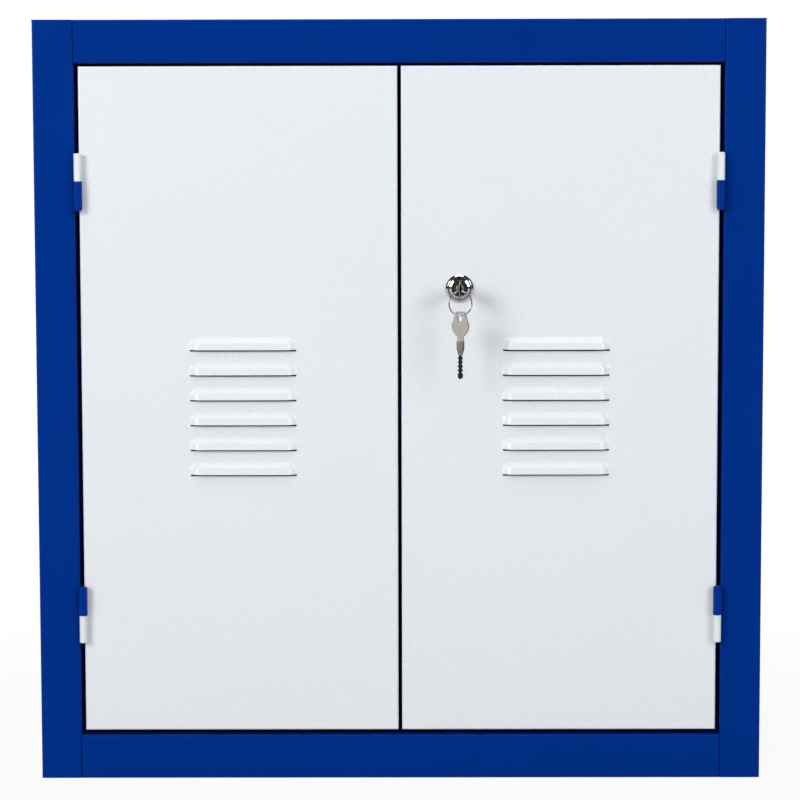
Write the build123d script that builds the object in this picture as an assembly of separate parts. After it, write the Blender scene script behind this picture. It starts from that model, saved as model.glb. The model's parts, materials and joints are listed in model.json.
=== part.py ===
from build123d import *

import os
from math import cos, radians, sin

# A steel tool cabinet: a folded body, two louvred doors on barrel hinges, a key lock with two rods
# on the right door, two slide bolts on the left door, and one adjustable shelf.
# Millimetres. X runs to the right, Y to the back and Z up, with the base on Z = 0.

# ---- Body ----
width = 726.0
height = 761.0
depth = 400.0
body_sheet = 1.2
fold = 2.2
reverse_fold = 1.0
stile_face = 40.5
top_rail = 42.7
bottom_rail = 44.0
return_depth = 24.5
stop_lip = 12.0
rear_flange = 15.0
side_flange = 16.0
toe_return = 20.0
seam_gap = 0.3
corner_relief = 3.5
floor_slot_play = 1.5
back_sheet = 0.9

# ---- Rivets of the back panel ----
rivet_radius = 1.6
rivet_head_radius = 3.2
rivet_head = 1.0
rivet_flat_count = 8
rivet_count_side = 3
rivet_count_top = 3
rivet_margin = 60.0

# ---- Doors ----
door_sheet = 1.0
door_depth = 20.0
door_return = 25.0
door_gap_side = 4.6
door_gap_centre = 3.7
door_gap_top = 3.1
door_gap_bottom = 5.2

# ---- Louvres ----
louvre_count = 6
louvre_pitch = 25.0
louvre_width = 109.0
louvre_height = 13.7
louvre_face = 8.6
louvre_stand = 5.3
louvre_end_slope = 6.5
louvre_corner = 5.0
louvre_drop = 281.8
louvre_shift = 3.6

# ---- Hinges ----
knuckle_frame_radius = 4.4
knuckle_door_radius = 3.8
knuckle_frame_length = 29.5
knuckle_door_length = 27.5
knuckle_gap = 0.3
knuckle_dome = 2.4
dome_count = 2
knuckle_chamfer = 0.8
knuckle_stand = 0.5
leaf = 1.2
leaf_inset = 2.5
leaf_reach = 15.0
pin_radius = 2.0
pin_play = 0.05
pin_seat = 22.0
hinge_from_door_top = 113.4
hinge_from_door_bottom = 118.0

# ---- Door stops ----
bumper_radius = 4.5
bumper_gap = 0.3
bumper_spacing = 130.0
bumper_from_corner = 60.0
bumper_flat_count = 12

# ---- Lock ----
lock_from_free_edge = 58.0
lock_from_door_top = 220.0
bezel_radius = 14.0
bezel_stand = 3.5
bezel_edge = 1.4
recess_radius = 11.5
recess_depth = 1.3
body_radius = 9.5
body_flats = 16.0
body_fit = 0.2
nut_across_flats = 24.0
nut_thickness = 4.0
plug_radius = 7.0
plug_head_radius = 8.0
plug_head = 2.0
plug_play = 0.05
tail_square = 8.0
tail_fit = 0.1
keyway_width = 2.6
keyway_height = 6.0
keyway_depth = 23.6

# ---- Cam and lock rods ----
rod_width = 17.0
rod_thickness = 3.0
lip_to_rod = 0.6
cam_thickness = 2.5
cam_width = 13.0
cam_to_door = 2.0
stud_circle = 11.0
stud_radius = 3.0
stud_shoulder = 4.2
shoulder_flat_count = 12
stud_tail = 1.8
shoulder_gap = 0.3
key_turn = 90.0
yoke_play = 0.45
clip_radius = 4.6
clip_thickness = 0.8
clip_gap = 0.1
clip_flat_count = 12
tail_end_radius = 3.4
tail_end = 1.3
cam_clip_radius = 5.6
rod_tip_clearance = 2.0
rod_tip_chamfer = 3.0
rod_overlap = 8.0

# ---- Slide bolts of the left door ----
bolt_width = 10.0
bolt_travel = 14.0
bolt_length = 118.0
bolt_from_free_edge = 12.5
knob_radius = 5.0
knob_length = 8.0
knob_edge = 1.0
knob_room = 20.0

# ---- Guides for rods and bolts ----
guide_wall = 2.5
guide_foot = 4.2
guide_foot_thickness = 2.5
guide_height = 12.0
guide_play = 0.3
guide_inset = 13.0
guide_edge = 1.0

# ---- Shelf, racks and clips ----
rack_depth = 10.0
rack_width = 30.0
rack_sheet = 1.2
rack_fold = 1.7
rack_from_front = 62.0
rack_from_back = 45.0
rack_above_floor = 8.0
rack_below_top = 32.0
slot_pitch = 50.0
slot_start = 20.0
slot_width = 14.0
slot_height = 3.2
shelf_slot_count = 7
shelf_height = 25.0
shelf_sheet = 1.0
shelf_lip = 12.0
shelf_side_gap = 0.5
shelf_from_front = 38.0
shelf_from_back = 6.0
clip_width = 12.0
clip_sheet = 1.2
clip_fold = 1.6
clip_ledge = 13.0
clip_rise = 15.0
clip_hook = 5.0
clip_slack = 0.3

# ---- Keys and ring ----
key_sheet = 1.9
bow_top = 9.6
bow_width = 18.0
bow_widest = 13.0
bow_straight = 4.0
bow_shoulder = 11.0
bow_low = 23.0
bow_length = 24.6
bow_round = 3.0
neck_width = 6.2
neck_length = 4.2
collar_width = 7.7
collar_length = 8.0
taper_length = 7.0
blade_width = 4.9
blade_length = 22.5
blade_root = 3.6
bit_radius = 1.7
bit_depth = 1.1
bit_pitch = 4.0
bit_count = 5
bit_flat_count = 8
key_hole_width = 5.0
key_hole_length = 7.5
key_hole_margin = 2.7
key_seat_gap = 0.3
ring_radius = 12.7
ring_wire = 1.5
ring_flat_count = 6
ring_yaw = 20.0
ring_slack = 0.15
spare_yaw = 25.0
spare_slack = 0.7

# ---- Places worked out from the sizes above ----
key_shoulder = bow_length + neck_length + collar_length + taper_length
plug_stand = bezel_stand - recess_depth
front_reach = plug_stand + key_seat_gap + key_shoulder
front_y = (front_reach - depth - rivet_head) / 2
back_y = front_y + depth
lip_y = front_y + return_depth
lip_rear_y = lip_y + body_sheet
stile_inner = width / 2 - stile_face
rail_half = stile_inner - seam_gap
inner_half = width / 2 - body_sheet - seam_gap
back_panel_y = (back_y - body_sheet - back_sheet, back_y - body_sheet)
floor_z = bottom_rail
top_lip_z = height - top_rail - stop_lip
panel_split_y = (front_y + back_y) / 2
relief_y = lip_rear_y + seam_gap

door_top = height - top_rail - door_gap_top
door_bottom = bottom_rail + door_gap_bottom
door_edge = stile_inner - door_gap_side
door_free = door_gap_centre / 2
door_rear = front_y + door_depth
louvre_x = (door_edge + door_free) / 2 - louvre_shift
louvre_z = [door_top - louvre_drop - index * louvre_pitch for index in range(louvre_count)]

hinge_x = door_edge + leaf / 2
hinge_y = front_y - knuckle_frame_radius - knuckle_stand
upper_hinge_z = door_top - hinge_from_door_top
lower_hinge_z = door_bottom + hinge_from_door_bottom

lock_x = door_free + lock_from_free_edge
lock_z = door_top - lock_from_door_top
plug_face = front_y - plug_stand
rod_y = (lip_rear_y + lip_to_rod, lip_rear_y + lip_to_rod + rod_thickness)
cam_y = (door_rear + cam_to_door, door_rear + cam_to_door + cam_thickness)
stud_angle = key_turn / 2
stud_in = stud_circle * cos(radians(stud_angle))
stud_up = stud_circle * sin(radians(stud_angle))
rod_offset = (stud_circle + stud_in) / 2
rod_tip_high = top_lip_z - rod_tip_clearance
rod_tip_low = floor_z + rod_tip_clearance
clip_y = (rod_y[1] + clip_gap, rod_y[1] + clip_gap + clip_thickness)
cam_clip_y = (cam_y[1] + clip_gap, cam_y[1] + clip_gap + clip_thickness)
bolt_x = -(door_free + bolt_from_free_edge)
guide_spacing = guide_height + 2 * knob_radius + bolt_travel + 2 * knob_room

rack_face = width / 2 - body_sheet - rack_depth
rack_y = (front_y + rack_from_front, back_y - rack_from_back)
rack_bottom = floor_z + rack_above_floor
rack_top = height - body_sheet - rack_below_top
slots = int((rack_top - rack_bottom - 2 * slot_start) / slot_pitch) + 1
slot_z = [rack_bottom + slot_start + index * slot_pitch for index in range(slots)]
ledge_z = slot_z[shelf_slot_count - 1] + clip_slack - clip_rise
shelf_bottom = ledge_z + clip_sheet
shelf_top = shelf_bottom + shelf_height
shelf_half = rack_face - clip_sheet - shelf_side_gap
shelf_y = (front_y + shelf_from_front, back_panel_y[0] - shelf_from_back)

key_top_y = plug_face - key_seat_gap - key_shoulder
hole_middle = key_hole_margin + key_hole_length / 2
ring_y = key_top_y + hole_middle
ring_middle = ring_radius - ring_wire / 2
ring_z = lock_z - key_hole_width / 2 + ring_slack - (ring_radius - ring_wire)
spare_top_z = ring_z - (ring_radius - ring_wire) + spare_slack + key_hole_margin


def block(x, y, z):
    """A box from three (low, high) pairs."""
    spans = (x, y, z)
    size = [high - low for low, high in spans]
    middle = [(low + high) / 2 for low, high in spans]
    return Pos(*middle) * Box(*size)


def round_y(x, z, radius, y):
    """A cylinder along Y between a (front, back) pair."""
    return Pos(x, (y[0] + y[1]) / 2, z) * Rot(90, 0, 0) * Cylinder(radius, y[1] - y[0])


def flatted_y(x, z, radius, flats, y):
    """A small round piece along Y, with a few flats in place of a round."""
    return along_y(Pos(x, z) * RegularPolygon(radius, flats), y)


def folded(points, radii, sheet):
    """Section of a folded sheet: its outer line, thickened to the line's left."""
    line = FilletPolyline(*points, radius=radii)
    return make_face(offset(line, amount=sheet, side=Side.LEFT).edges())


def along_y(section, y):
    """Extrudes an X-Z section between a (front, back) pair."""
    return extrude(Plane.XZ.offset(-y[1]) * section, y[1] - y[0])


def along_x(section, half):
    """Extrudes a Y-Z section to both sides of the middle."""
    return extrude(Plane.YZ * section, half, both=True)


def along_z(section, z):
    """Extrudes an X-Y section between a (low, high) pair."""
    return extrude(Pos(0, 0, z[0]) * section, z[1] - z[0])


def mirrored(shape):
    """The same piece on the other side of the cabinet."""
    return mirror(shape, about=Plane.YZ)


def dome_edge(radius, end, dome):
    """Points that round the end of a turned piece from its side to its face, in a few flats."""
    angles = [90 * step / dome_count for step in range(dome_count + 1)]
    return [
        (radius - dome + dome * cos(radians(angle)), end - dome + dome * sin(radians(angle)))
        for angle in angles
    ]


def spread(low, high, count):
    """Evenly spaced places with the first and last at the ends."""
    return [low + (high - low) * index / (count - 1) for index in range(count)]


# ---- Body ----


def side_rivets():
    """Rivet heights in the rear flange of the right side."""
    x = width / 2 - rear_flange / 2
    return [(x, z) for z in spread(rivet_margin, height - rivet_margin, rivet_count_side)]


def top_rivets():
    """Rivet places in the rear flange of the top."""
    reach = width / 2 - rear_flange - rivet_margin
    return [(x, height - rear_flange / 2) for x in spread(-reach, reach, rivet_count_top)]


def rivet_holes(places):
    """Holes through the rear flanges and the back panel."""
    y = (back_panel_y[0] - body_sheet, back_y + body_sheet)
    return [flatted_y(x, z, rivet_radius, rivet_flat_count, y) for x, z in places]


def side_panel():
    """Right side: rear flange, web, stile, return and stop lip folded from one sheet."""
    outer = width / 2
    points = [
        (stile_inner - stop_lip, lip_y),
        (stile_inner, lip_y),
        (stile_inner, front_y),
        (outer, front_y),
        (outer, back_y),
        (outer - rear_flange, back_y),
    ]
    web_top = height - body_sheet
    panel = along_z(folded(points, [reverse_fold, fold, fold, fold], body_sheet), (0, web_top))
    # The web carries an inward flange at its top and bottom, between the stile and the rear.
    flange_y = (lip_rear_y + corner_relief, back_panel_y[0] - corner_relief)
    c_points = [
        (outer - side_flange, 0),
        (outer, 0),
        (outer, web_top),
        (outer - side_flange, web_top),
    ]
    panel -= block((outer - side_flange, outer), flange_y, (0, web_top))
    panel += along_y(folded(c_points, [fold, fold], body_sheet), flange_y)
    # The stop lip ends below the lip of the top rail and above the floor.
    lip_x = (stile_inner - stop_lip - seam_gap, stile_inner)
    lip_span = (lip_y - reverse_fold, lip_rear_y + seam_gap)
    panel -= block(lip_x, lip_span, (top_lip_z - seam_gap, height))
    panel -= block(lip_x, lip_span, (0, floor_z + seam_gap))
    return panel - rivet_holes(side_rivets())


def top_panel():
    """Top sheet, folded into the top rail with its stop lip, and into a rear flange."""
    front_points = [
        (panel_split_y, height),
        (front_y, height),
        (front_y, height - top_rail),
        (lip_y, height - top_rail),
        (lip_y, top_lip_z),
    ]
    rear_points = [(back_y, height - rear_flange), (back_y, height), (panel_split_y, height)]
    panel = along_x(folded(front_points, [fold, fold, reverse_fold], body_sheet), rail_half)
    flange_half = width / 2 - rear_flange - seam_gap
    panel += along_x(folded(rear_points, [fold], body_sheet), flange_half)
    # The sheet runs over both sides, with a relief notch where the rail is folded down.
    notch = rail_half + corner_relief
    sheet_z = (height - body_sheet, height)
    for side in (-1, 1):
        outer = sorted((side * flange_half, side * width / 2))
        over_stile = sorted((side * notch, side * width / 2))
        panel += block(outer, (front_y + fold, back_y), sheet_z)
        panel += block(over_stile, (front_y, front_y + fold), sheet_z)
    panel += block((-flange_half, flange_half), (front_y + fold, back_y - fold), sheet_z)
    return panel - rivet_holes(top_rivets())


def bottom_panel():
    """Floor sheet, folded down into the bottom rail with its toe return and rear flange."""
    floor_back = back_panel_y[0]
    front_points = [
        (panel_split_y, floor_z),
        (front_y, floor_z),
        (front_y, 0),
        (front_y + toe_return, 0),
    ]
    rear_points = [
        (floor_back, floor_z - side_flange),
        (floor_back, floor_z),
        (panel_split_y, floor_z),
    ]
    side_points = [
        (inner_half, floor_z - side_flange),
        (inner_half, floor_z),
        (-inner_half, floor_z),
        (-inner_half, floor_z - side_flange),
    ]
    panel = along_x(folded(front_points, [fold, fold], body_sheet), rail_half)
    rear_half = inner_half - fold - seam_gap
    panel += along_x(folded(rear_points, [fold], body_sheet), rear_half)
    floor = folded(side_points, [fold, fold], body_sheet)
    panel += along_y(floor, (relief_y, floor_back - fold - seam_gap))
    # The lower lock rod and the lower bolt drop through slots in the floor.
    slot_y = (rod_y[0] - floor_slot_play, rod_y[1] + floor_slot_play)
    for x, bar in ((lock_x - rod_offset, rod_width), (bolt_x, bolt_width)):
        half = bar / 2 + floor_slot_play
        panel -= block((x - half, x + half), slot_y, (floor_z - 2 * body_sheet, floor_z + body_sheet))
    return panel


def back_panel():
    """Flat back, inside the rear flanges and behind the floor's flange."""
    half = width / 2 - fold - seam_gap
    panel = block((-half, half), back_panel_y, (0, height - fold - seam_gap))
    places = side_rivets() + [(-x, z) for x, z in side_rivets()] + top_rivets()
    return panel - rivet_holes(places)


def back_rivet(x, z):
    """One rivet: a coned head behind the flange, a shank and a blind head inside."""
    inner = back_panel_y[0]
    blind = rivet_head_radius - rivet_head
    sections = [
        Plane.XZ.offset(-y) * Pos(x, z) * RegularPolygon(radius, rivet_flat_count)
        for y, radius in ((back_y, rivet_head_radius), (back_y + rivet_head, blind))
    ]
    shank = flatted_y(x, z, rivet_radius, rivet_flat_count, (inner, back_y))
    blind_head = flatted_y(x, z, blind, rivet_flat_count, (inner - rivet_head, inner))
    return loft(sections) + shank + blind_head


def back_rivets():
    places = side_rivets() + [(-x, z) for x, z in side_rivets()] + top_rivets()
    return Compound([back_rivet(x, z).solid() for x, z in places])


# ---- Racks, clips and shelf ----


def rack(y):
    """Slotted channel on the inside of the right side."""
    web = width / 2 - body_sheet
    points = [
        (web, y + rack_width / 2),
        (rack_face, y + rack_width / 2),
        (rack_face, y - rack_width / 2),
        (web, y - rack_width / 2),
    ]
    strip = along_z(folded(points, [rack_fold, rack_fold], rack_sheet), (rack_bottom, rack_top))
    slot_x = (rack_face - rack_sheet, rack_face + 2 * rack_sheet)
    slot_y = (y - slot_width / 2, y + slot_width / 2)
    return strip - [block(slot_x, slot_y, (z, z + slot_height)) for z in slot_z]


def shelf_clip(y):
    """Folded strip: a ledge for the shelf, a rise and a hook through a rack slot."""
    hook_x = rack_face + rack_sheet + clip_slack
    low = slot_z[shelf_slot_count - 1] + clip_slack
    high = low + clip_sheet
    points = [(rack_face - clip_ledge, ledge_z), (rack_face, ledge_z), (rack_face, high)]
    span = (y - clip_width / 2, y + clip_width / 2)
    clip = along_y(folded(points, [clip_fold], clip_sheet), span)
    clip += block((rack_face - clip_sheet, hook_x + clip_sheet), span, (low, high))
    return clip + block((hook_x, hook_x + clip_sheet), span, (low - clip_hook, high))


def shelf_clips():
    right = [shelf_clip(y).solid() for y in rack_y]
    return Compound(right + [mirrored(clip).solid() for clip in right])


def shelf():
    """Tray shelf, open below, with its edges folded down and in."""
    x = (-shelf_half, shelf_half)
    tray = block(x, shelf_y, (shelf_bottom, shelf_top))
    tray = fillet(tray.edges().group_by(Axis.Z)[-1], fold)
    inner_x = (-shelf_half + shelf_sheet, shelf_half - shelf_sheet)
    inner_y = (shelf_y[0] + shelf_sheet, shelf_y[1] - shelf_sheet)
    hollow = block(inner_x, inner_y, (shelf_bottom + shelf_sheet, shelf_top - shelf_sheet))
    hollow = fillet(hollow.edges().group_by(Axis.Z)[-1], fold - shelf_sheet)
    open_x = (-shelf_half + shelf_lip, shelf_half - shelf_lip)
    open_y = (shelf_y[0] + shelf_lip, shelf_y[1] - shelf_lip)
    return tray - hollow - block(open_x, open_y, (shelf_bottom - shelf_sheet, shelf_top - shelf_height / 2))


# ---- Doors ----


def louvre_section(half, rise, corner):
    """Outline of a hood at one depth: flat below, rounded at its upper corners."""
    points = [(-half, 0), (half, 0), (half, rise), (-half, rise)]
    outline = make_face(Polyline(*points, close=True))
    return fillet(outline.vertices().group_by(Axis.Y)[-1], corner)


def hood_body(inset):
    """Solid under the hood's skin, drawn in from the outside by the inset."""
    base_half = louvre_width / 2 - inset
    face_half = base_half - louvre_end_slope
    base = louvre_section(base_half, louvre_height - inset, louvre_corner)
    face = louvre_section(face_half, louvre_face - inset, louvre_corner / 2)
    stand = louvre_stand - inset
    return loft([Plane.XZ * base, Plane.XZ.offset(stand) * face])


def louvre_cut(x, z):
    """The opening behind one hood, through the door's front."""
    half = louvre_width / 2 - door_sheet
    base = louvre_section(half, louvre_height - door_sheet, louvre_corner)
    slit = extrude(Plane.XZ.offset(-2 * door_sheet) * base, 2 * door_sheet)
    return Pos(x, front_y, z) * slit


def louvre_hood(x, z):
    """Pressed hood, open along its lower edge."""
    return Pos(x, front_y, z) * (hood_body(0) - hood_body(door_sheet))


def door_pan():
    """Right door without its lock hole: a folded pan with the louvre hoods."""
    x = (door_free, door_edge)
    z = (door_bottom, door_top)
    pan = block(x, (front_y, door_rear), z)
    pan = fillet(pan.faces().sort_by(Axis.Y)[0].edges() + pan.faces().sort_by(Axis.Y)[-1].edges(), fold)
    inner_x = (x[0] + door_sheet, x[1] - door_sheet)
    inner_z = (z[0] + door_sheet, z[1] - door_sheet)
    hollow = block(inner_x, (front_y + door_sheet, door_rear - door_sheet), inner_z)
    ends = hollow.faces().sort_by(Axis.Y)
    hollow = fillet(ends[0].edges() + ends[-1].edges(), fold - door_sheet)
    open_x = (x[0] + door_return, x[1] - door_return)
    open_z = (z[0] + door_return, z[1] - door_return)
    pan = pan - hollow - block(open_x, (front_y + door_depth / 2, door_rear + door_sheet), open_z)
    pan -= [louvre_cut(louvre_x, lip) for lip in louvre_z]
    return pan + [louvre_hood(louvre_x, lip) for lip in louvre_z]


def flatted_body(radius, flats, y):
    """Round body with two flats, standing up and down."""
    body = round_y(lock_x, lock_z, radius, y)
    return body & block((lock_x - radius, lock_x + radius), y, (lock_z - flats / 2, lock_z + flats / 2))


def door_bumper(x, z):
    """Rubber stop on the front of a stop lip."""
    return flatted_y(x, z, bumper_radius, bumper_flat_count, (door_rear + bumper_gap, lip_y))


def door_bumpers():
    top_z = top_lip_z + bumper_radius
    side_x = stile_inner - stop_lip + bumper_radius
    places = [(door_free + bumper_from_corner + step * bumper_spacing, top_z) for step in (0, 1)]
    places += [(side_x, door_bottom + bumper_from_corner), (side_x, door_top - bumper_from_corner)]
    right = [door_bumper(x, z).solid() for x, z in places]
    return Compound(right + [mirrored(bumper).solid() for bumper in right])


# ---- Hinges ----


def hinge_frame_half(z, side):
    """Frame half of a right hinge. It lies below the joint where side is -1, above where 1."""
    start = knuckle_gap / 2
    end = start + knuckle_frame_length
    rounded = dome_edge(knuckle_frame_radius, end, knuckle_dome)
    section = make_face(Polyline((0, start), (knuckle_frame_radius, start), *rounded, (0, end), close=True))
    knuckle = revolve(Plane.XZ * section, Axis.Z)
    leaf_x = (stile_inner - leaf - hinge_x, stile_inner - hinge_x)
    leaf_z = (start + leaf_inset, end - knuckle_dome - leaf_inset)
    plate = block(leaf_x, (0, knuckle_frame_radius + knuckle_stand + leaf_reach), leaf_z)
    bore = Pos(0, 0, pin_seat / 2) * Cylinder(pin_radius, pin_seat)
    half = knuckle + plate - bore
    if side < 0:
        half = mirror(half, about=Plane.XY)
    return Pos(hinge_x, hinge_y, z) * half


def hinge_door_half(z, side):
    """Door half of a right hinge, on the side away from the frame half."""
    start = knuckle_gap / 2
    end = start + knuckle_door_length
    knuckle = Pos(0, 0, (start + end) / 2) * Cylinder(knuckle_door_radius, end - start)
    knuckle = chamfer(knuckle.edges().group_by(Axis.Z)[-1], knuckle_chamfer)
    reach = knuckle_frame_radius + knuckle_stand + leaf_reach
    plate = block((-leaf / 2, leaf / 2), (0, reach), (start + leaf_inset, end - leaf_inset))
    bore = Pos(0, 0, pin_seat / 2) * Cylinder(pin_radius + pin_play, pin_seat + 2 * knuckle_gap)
    half = knuckle + plate - bore
    if side < 0:
        half = mirror(half, about=Plane.XY)
    return Pos(hinge_x, hinge_y, z) * half


def hinge_pin(z):
    """Pin held in the frame half and running in the door half."""
    return Pos(hinge_x, hinge_y, z) * Cylinder(pin_radius, 2 * pin_seat)


# ---- Lock ----


def lock_housing():
    """Bezel in front of the door and a flatted body behind it, bored for the plug."""
    rounded = [(x, -y) for x, y in dome_edge(bezel_radius, bezel_stand, bezel_edge)]
    section = make_face(Polyline((0, 0), (bezel_radius, 0), *rounded, (0, -bezel_stand), close=True))
    bezel = Pos(lock_x, front_y, lock_z) * revolve(section, Axis.Y)
    recess = round_y(lock_x, lock_z, recess_radius, (front_y - bezel_stand, plug_face))
    body = flatted_body(body_radius, body_flats, (front_y, cam_y[0]))
    head = (plug_face, plug_face + plug_head)
    bore = round_y(lock_x, lock_z, plug_radius + plug_play, (plug_face, cam_y[0]))
    seat = round_y(lock_x, lock_z, plug_head_radius + plug_play, head)
    return bezel + body - recess - bore - seat


def lock_nut():
    """Nut that holds the lock against the back of the door's front."""
    y = (front_y + door_sheet, front_y + door_sheet + nut_thickness)
    section = Plane.XZ * RegularPolygon(nut_across_flats / 2, 6, major_radius=False)
    nut = Pos(lock_x, y[1], lock_z) * extrude(section, nut_thickness)
    return nut - round_y(lock_x, lock_z, body_radius, y)


def lock_plug():
    """Turning plug with its keyway in front and a square tail behind."""
    head_y = (plug_face, plug_face + plug_head - seam_gap)
    plug = round_y(lock_x, lock_z, plug_head_radius, head_y)
    plug += round_y(lock_x, lock_z, plug_radius, (plug_face, cam_y[0]))
    half = tail_square / 2
    tail_x = (lock_x - half, lock_x + half)
    plug += block(tail_x, (cam_y[0], cam_y[1]), (lock_z - half, lock_z + half))
    slot_x = (lock_x - keyway_width / 2, lock_x + keyway_width / 2)
    keyway_z = (lock_z - keyway_height / 2, lock_z + keyway_height / 2)
    plug -= block(slot_x, (plug_face, plug_face + keyway_depth), keyway_z)
    return plug + round_y(lock_x, lock_z, tail_end_radius, (cam_y[1], cam_y[1] + tail_end))


def push_clip(x, z, outer, inner, y):
    """Ring clip pushed onto a round shank along Y."""
    return flatted_y(x, z, outer, clip_flat_count, y) - round_y(x, z, inner, y)


def cam_clip():
    """Clip that holds the cam on the end of the plug's tail."""
    return push_clip(lock_x, lock_z, cam_clip_radius, tail_end_radius, cam_clip_y)


def cam_stud(direction):
    """Stepped stud: a shoulder below the rod and a bearing in its yoke."""
    x = direction * stud_circle
    shoulder_top = rod_y[0] - shoulder_gap
    stud = flatted_y(x, 0, stud_shoulder, shoulder_flat_count, (cam_y[1], shoulder_top))
    return stud + round_y(x, 0, stud_radius, (shoulder_top, clip_y[1] + stud_tail))


def lock_cam():
    """Double-ended cam with a stud at each end, turned down to the right at rest."""
    plate = along_y(SlotCenterToCenter(2 * stud_circle, cam_width), cam_y)
    cam = plate + cam_stud(1) + cam_stud(-1)
    half = tail_square / 2 + tail_fit
    hole = block((-half, half), cam_y, (-half, half))
    turned = Rot(0, stud_angle, 0) * cam
    return Pos(lock_x, 0, lock_z) * (turned - hole)


def rod_clips():
    """Clips that hold the rods on the studs."""
    clips = []
    for side in (-1, 1):
        place = (lock_x + side * stud_in, lock_z - side * stud_up)
        clips.append(push_clip(*place, clip_radius, stud_radius, clip_y).solid())
    return Compound(clips)


def flat_bar(x, bar_width, z, tip):
    """Flat bar along Z with its tip's corners cut. The tip is at the top where 1, below where -1."""
    half = bar_width / 2
    bar = block((x - half, x + half), rod_y, z)
    corners = bar.edges().filter_by(Axis.Y).group_by(Axis.Z)[-1 if tip > 0 else 0]
    return chamfer(corners, rod_tip_chamfer)


def yoke(x, z):
    """Cross slot of a rod, long enough for the stud's swing."""
    travel = stud_circle - stud_in
    length = travel + 2 * (stud_radius + yoke_play)
    slot = SlotOverall(length, 2 * (stud_radius + yoke_play))
    return Pos(x, 0, z) * along_y(slot, (rod_y[0] - rod_thickness, rod_y[1] + rod_thickness))


def lock_rod(side):
    """Upper rod where side is 1, lower rod where -1, drawn back as when unlocked."""
    x = lock_x + side * rod_offset
    stud_z = lock_z - side * stud_up
    near = stud_z - side * (stud_radius + rod_overlap)
    tip = rod_tip_high if side > 0 else rod_tip_low
    return flat_bar(x, rod_width, sorted((near, tip)), side) - yoke(x, stud_z)


# ---- Slide bolts and guides ----


def bolt_span(side):
    """Height range of a bolt, upper where side is 1."""
    tip = rod_tip_high if side > 0 else rod_tip_low
    return sorted((tip, tip - side * bolt_length))


def slide_bolt(side):
    """Flat bolt of the left door with its knob, drawn back."""
    z = bolt_span(side)
    knob = round_y(bolt_x, (z[0] + z[1]) / 2, knob_radius, (rod_y[1], rod_y[1] + knob_length))
    knob = chamfer(knob.edges().group_by(Axis.Y)[-1], knob_edge)
    return flat_bar(bolt_x, bolt_width, z, side) + knob


def guide(x, bar_width, z):
    """Moulded guide on the door's rear return, with a window for the bar."""
    half_window = bar_width / 2 + guide_play
    half = half_window + guide_wall
    window_y = (rod_y[0] - guide_play, rod_y[1] + guide_play)
    outer_y = window_y[1] + guide_wall
    foot_y = door_rear + guide_foot_thickness
    foot = half + guide_foot
    points = [
        (x - foot, door_rear),
        (x + foot, door_rear),
        (x + foot, foot_y),
        (x + half, foot_y),
        (x + half, outer_y),
        (x - half, outer_y),
        (x - half, foot_y),
        (x - foot, foot_y),
    ]
    section = make_face(Polyline(*points, close=True))
    section = chamfer(section.vertices().group_by(Axis.Y)[-1], guide_edge)
    body = along_z(section, (z - guide_height / 2, z + guide_height / 2))
    reach = (z - guide_height, z + guide_height)
    return body - block((x - half_window, x + half_window), window_y, reach)


def rod_guides():
    """One guide for each lock rod, on the top and bottom returns of the right door."""
    upper = guide(lock_x + rod_offset, rod_width, door_top - guide_inset - guide_height / 2)
    lower = guide(lock_x - rod_offset, rod_width, door_bottom + guide_inset + guide_height / 2)
    return Compound([upper.solid(), lower.solid()])


def bolt_guides():
    """Two guides for each bolt, on the free-edge return of the left door."""
    solids = []
    for side, edge in ((1, door_top), (-1, door_bottom)):
        first = edge - side * (guide_inset + guide_height / 2)
        for z in (first, first - side * guide_spacing):
            solids.append(guide(bolt_x, bolt_width, z).solid())
    return Compound(solids)


# ---- Keys and ring ----


def key_outline():
    """Half of the key's edge from the top of its bow to the start of the blade."""
    neck_end = bow_length + neck_length
    collar_end = neck_end + collar_length
    return [
        (bow_top / 2, 0),
        (bow_width / 2, -bow_widest),
        (bow_width / 2, -(bow_widest + bow_straight)),
        (bow_shoulder / 2, -bow_low),
        (neck_width / 2, -bow_length),
        (neck_width / 2, -neck_end),
        (collar_width / 2, -neck_end),
        (collar_width / 2, -collar_end),
        (blade_root / 2, -key_shoulder),
    ]


def key():
    """A flat key hanging from the origin at the top of its bow, in the X-Y plane."""
    right = key_outline()
    left = [(-x, y) for x, y in reversed(right)]
    shank = make_face(Polyline(*right, *left, close=True))
    rounded = shank.vertices().filter_by(lambda v: v.Y > -(bow_low + bow_length) / 2)
    shank = fillet(rounded, bow_round)
    # The blade's slot starts inside the taper, so that only its lower end shows round.
    blade_slot = blade_length + blade_width / 2
    blade = Pos(0, blade_slot / 2 - blade_length - key_shoulder) * SlotOverall(
        blade_slot, blade_width, rotation=90
    )
    hole = Pos(0, -hole_middle) * SlotOverall(key_hole_length, key_hole_width, rotation=90)
    return extrude(shank + blade - bit_cuts() - hole, key_sheet / 2, both=True)


def bit_cuts():
    """Bits cut into both edges of the blade."""
    x = blade_width / 2 + bit_radius - bit_depth
    cuts = []
    for index in range(bit_count):
        y = -(key_shoulder + bit_pitch * index)
        cuts += [Pos(side * x, y) * RegularPolygon(bit_radius, bit_flat_count) for side in (-1, 1)]
    return cuts


def inserted_key():
    """The key in the lock: blade to the back, plate standing."""
    plane = Plane(origin=(lock_x, key_top_y, lock_z), x_dir=(0, 0, 1), z_dir=(1, 0, 0))
    return plane.location * key()


def key_ring():
    """Ring through the inserted key's bow. Its wire has a few flats in place of a round."""
    yaw = radians(ring_yaw)
    plane = Plane(
        origin=(lock_x, ring_y, ring_z), x_dir=(cos(yaw), sin(yaw), 0), z_dir=(sin(yaw), -cos(yaw), 0)
    )
    wire = Pos(ring_middle, 0) * RegularPolygon(ring_wire / 2, ring_flat_count)
    return plane.location * revolve(Plane.XZ * wire, Axis.Z)


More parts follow.
